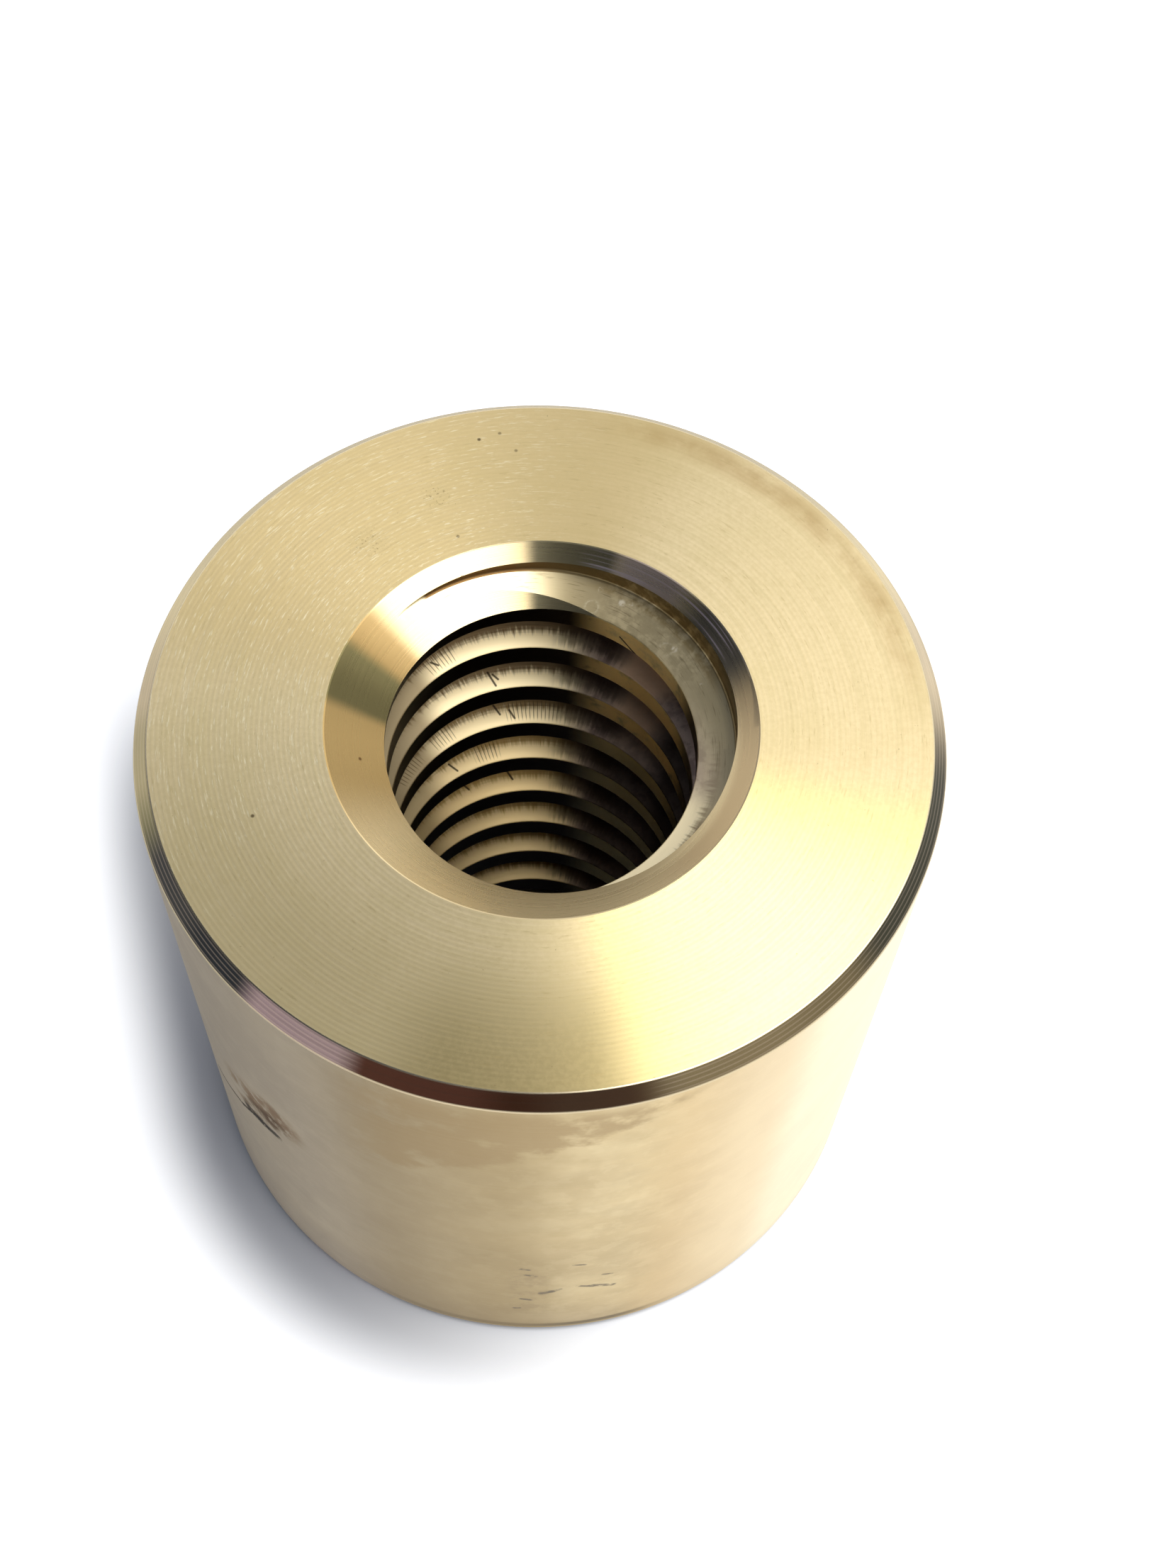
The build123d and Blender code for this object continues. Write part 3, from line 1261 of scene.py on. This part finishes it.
@dataclass(frozen=True)
class Studio:
    """A pale floor and backdrop under plain soft light."""

    room_left: str = "#C6D2EE"
    room_right: str = "#F8F8F6"
    level_left: float = 0.42
    level_right: float = 0.80
    patches: tuple[SkyPatch, ...] = (
        SkyPatch((0.55, 0.40, 0.73), 10, 45, 1.9),
        SkyPatch((-0.10, 0.75, 0.65), 10, 50, 1.5),
        SkyPatch((-0.85, -0.05, 0.53), 12, 38, 0.20),
        SkyPatch((-0.35, -0.50, 0.78), 14, 36, 0.35),
        SkyPatch((0.0, -0.87, 0.50), 8, 28, 0.2),
        SkyPatch((0.87, 0.27, 0.40), 6, 18, 0.25),
    )
    board: str = "#C8CACF"
    board_glow: float = 0.8
    key_side: tuple[float, float, float] = (0.8, -0.6, 0.0)
    lee_side: tuple[float, float, float] = (-0.267, 0.964, 0.0)
    footprint: tuple[float, float] = (24.6, 25.1)
    shade_beside: tuple[float, float] = (26.5, 33.7)
    shade_end: tuple[float, float] = (36.0, 53.0)
    shade_at_key: tuple[float, float] = (-2.0, 34.0)
    mirrored_dim: tuple[float, float] = (70.0, 400.0)
    mirrored_at_key: tuple[float, float] = (-40.0, 60.0)
    floor_radius: float = 3000.0
    backdrop_height: float = 1400.0
    key_left: float = 100.0
    key_right: float = 800.0
    key_front: float = -620.0
    key_back: float = 240.0
    key_height: float = 700.0
    key_radiance: float = 3.3

    def build(self) -> None:
        """Light the room, hang the key light and stand the floor and backdrop up."""
        self.light_room()
        self.hang_key()
        board = self.matte_board()
        floor = bmesh.new()
        bmesh.ops.create_circle(floor, cap_ends=True, radius=self.floor_radius * MM, segments=96)
        self.stage("floor", floor, board)
        wall = bmesh.new()
        bmesh.ops.create_cone(
            wall,
            cap_ends=False,
            segments=96,
            radius1=self.floor_radius * MM,
            radius2=self.floor_radius * MM,
            depth=self.backdrop_height * MM,
        )
        bmesh.ops.translate(wall, verts=wall.verts[:], vec=(0, 0, self.backdrop_height / 2 * MM))
        self.stage("backdrop", wall, board)

    def light_room(self) -> None:
        """Make the room's light, brightest overhead on the right, dark on the left and in front."""
        world = bpy.data.worlds.new("studio_room")
        bpy.context.scene.world = world
        world.use_nodes = True
        tree = world.node_tree
        tree.nodes.clear()
        towards = add_node(tree, "TexCoord", output="Generated")
        sideways = add_node(tree, "SeparateXYZ", {0: towards})
        limits = {"Value": sideways, "From Min": -0.7, "From Max": 0.5}
        across = add_node(tree, "MapRange", limits, interpolation_type="SMOOTHSTEP")
        walls = {"Fac": across, "Color1": linear(self.room_left), "Color2": linear(self.room_right)}
        room = add_node(tree, "MixRGB", walls)
        ends = {"Value": across, "To Min": self.level_left, "To Max": self.level_right}
        level = add_node(tree, "MapRange", ends)
        for patch in self.patches:
            aim = Vector(patch.direction).normalized()
            steps = {0: towards, 1: aim}
            near = add_node(tree, "VectorMath", steps, "Value", operation="DOT_PRODUCT")
            gain = add_node(
                tree,
                "MapRange",
                {
                    "Value": near,
                    "From Min": cos(radians(patch.outer)),
                    "From Max": cos(radians(patch.inner)),
                    "To Min": 1.0,
                    "To Max": patch.gain,
                },
                interpolation_type="SMOOTHSTEP",
            )
            level = add_node(tree, "Math", {0: level, 1: gain}, operation="MULTIPLY")
        background = add_node(tree, "Background", {"Color": room, "Strength": level})
        add_node(tree, "OutputWorld", {"Surface": background})

    def hang_key(self) -> None:
        """Hang the broad key panel level overhead, to the right and a little in front."""
        lamp = bpy.data.lights.new("key_panel", "AREA")
        lamp.shape = "RECTANGLE"
        lamp.size = (self.key_right - self.key_left) * MM
        lamp.size_y = (self.key_back - self.key_front) * MM
        lamp.energy = self.key_radiance * pi * lamp.size * lamp.size_y
        panel = bpy.data.objects.new("key_panel", lamp)
        across = (self.key_left + self.key_right) / 2
        along = (self.key_front + self.key_back) / 2
        panel.location = Vector((across, along, self.key_height)) * MM
        bpy.context.scene.collection.objects.link(panel)

    def matte_board(self) -> bpy.types.Material:
        """Matt white card, which looks white to the camera and in the metal and keeps shadows; its
        glow
        is a painted shadow too: left out in a soft patch beside the nut, shaped as the nut's
        shadow, and seen in the metal only far from the nut and towards the key.

        Returns:
            The material of the floor and the backdrop.
        """
        material = bpy.data.materials.new("matt_white_card")
        material.use_nodes = True
        tree = material.node_tree
        tree.nodes.clear()
        path = add_node(tree, "LightPath").node.outputs
        place = LathePlace.of(tree)
        steps = {0: place.point, 1: self.lee_side}
        lee = add_node(tree, "VectorMath", steps, "Value", operation="DOT_PRODUCT")
        behind = add_node(tree, "Math", {0: lee, 1: 0.0}, operation="MAXIMUM")
        foot = add_node(tree, "VectorMath", {0: self.lee_side, "Scale": behind}, operation="SCALE")
        steps = {0: place.point, 1: foot}
        beside = add_node(tree, "VectorMath", steps, "Value", operation="DISTANCE")
        steps = {0: place.point, 1: self.key_side}
        along = add_node(tree, "VectorMath", steps, "Value", operation="DOT_PRODUCT")
        # Painted shadow: no glow for the camera in a soft patch beside and behind the nut.
        looked_at = place.either(
            place.ramp(beside, *self.shade_beside),
            place.ramp(place.radius, *self.shade_end),
            place.ramp(along, *self.shade_at_key),
        )
        # Painted shade: the metal sees the glow only far from the nut and towards the key.
        mirrored = place.either(
            place.ramp(place.radius, *self.mirrored_dim), place.ramp(along, *self.mirrored_at_key)
        )
        camera_seen = place.both(path["Is Camera Ray"], looked_at)
        layers = {0: path["Is Glossy Ray"], 1: mirrored, 2: camera_seen}
        both_seen = add_node(tree, "Math", layers, operation="MULTIPLY_ADD")
        seen = place.both(both_seen, place.ramp(place.radius, *self.footprint))
        glow = add_node(tree, "Math", {0: seen, 1: self.board_glow}, operation="MULTIPLY")
        shader = add_node(
            tree,
            "BsdfPrincipled",
            {
                "Base Color": linear(self.board),
                "Roughness": 0.9,
                "Specular IOR Level": 0.0,
                "Emission Color": (1.0, 1.0, 1.0, 1.0),
                "Emission Strength": glow,
            },
        )
        add_node(tree, "OutputMaterial", {"Surface": shader})
        return material

    def stage(self, name: str, mesh: bmesh.types.BMesh, material: bpy.types.Material) -> None:
        """Set up a piece of the studio that isn't part of the nut.

        Args:
            name: the object's name.
            mesh: its mesh, which is used up.
            material: its material.
        """
        data = bpy.data.meshes.new(name)
        mesh.to_mesh(data)
        mesh.free()
        data.materials.append(material)
        piece = bpy.data.objects.new(name, data)
        piece.location.z = -0.05 * MM
        bpy.context.scene.collection.objects.link(piece)
        LOG.info("%s: part of the studio", piece.name)


@dataclass(frozen=True)
class Camera:
    """The camera, placed from the middle of the nut's upper face."""

    distance: float = 135.16
    elevation: float = 59.92
    aim: tuple[float, float] = (2.837, -4.308)
    roll: float = 3.407
    lens: float = 50.61

    def place(self, length: float) -> None:
        """Set the camera up.

        Args:
            length: height of the upper face above the floor.
        """
        lift = radians(self.elevation)
        spot = Vector((0, -self.distance * cos(lift), length + self.distance * sin(lift)))
        sight = (Vector((*self.aim, length)) - spot).normalized()
        level = sight.cross(Vector((0, 0, 1))).normalized()
        turned = Matrix.Rotation(radians(-self.roll), 3, sight) @ level
        rise = turned.cross(sight)
        data = bpy.data.cameras.new("camera")
        data.lens = self.lens
        camera = bpy.data.objects.new("camera", data)
        axes = Matrix((turned, rise, -sight)).transposed()
        camera.matrix_world = Matrix.Translation(spot * MM) @ axes.to_4x4()
        bpy.context.scene.collection.objects.link(camera)
        bpy.context.scene.camera = camera


def main() -> None:
    """Build the nut, dress it and set up the studio."""
    logging.basicConfig(level=logging.INFO, format="%(name)s: %(message)s")
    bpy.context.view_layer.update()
    nut = TurnedNut.from_frame()
    piece = nut.build()
    nut.dress(piece)
    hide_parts(NODE)
    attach(piece, BODY)
    LOG.info("%s: %d faces", piece.name, len(piece.data.polygons))
    Studio().build()
    Camera().place(nut.length)
    bpy.context.scene.view_settings.view_transform = "Standard"


if __name__ == "__main__":
    main()
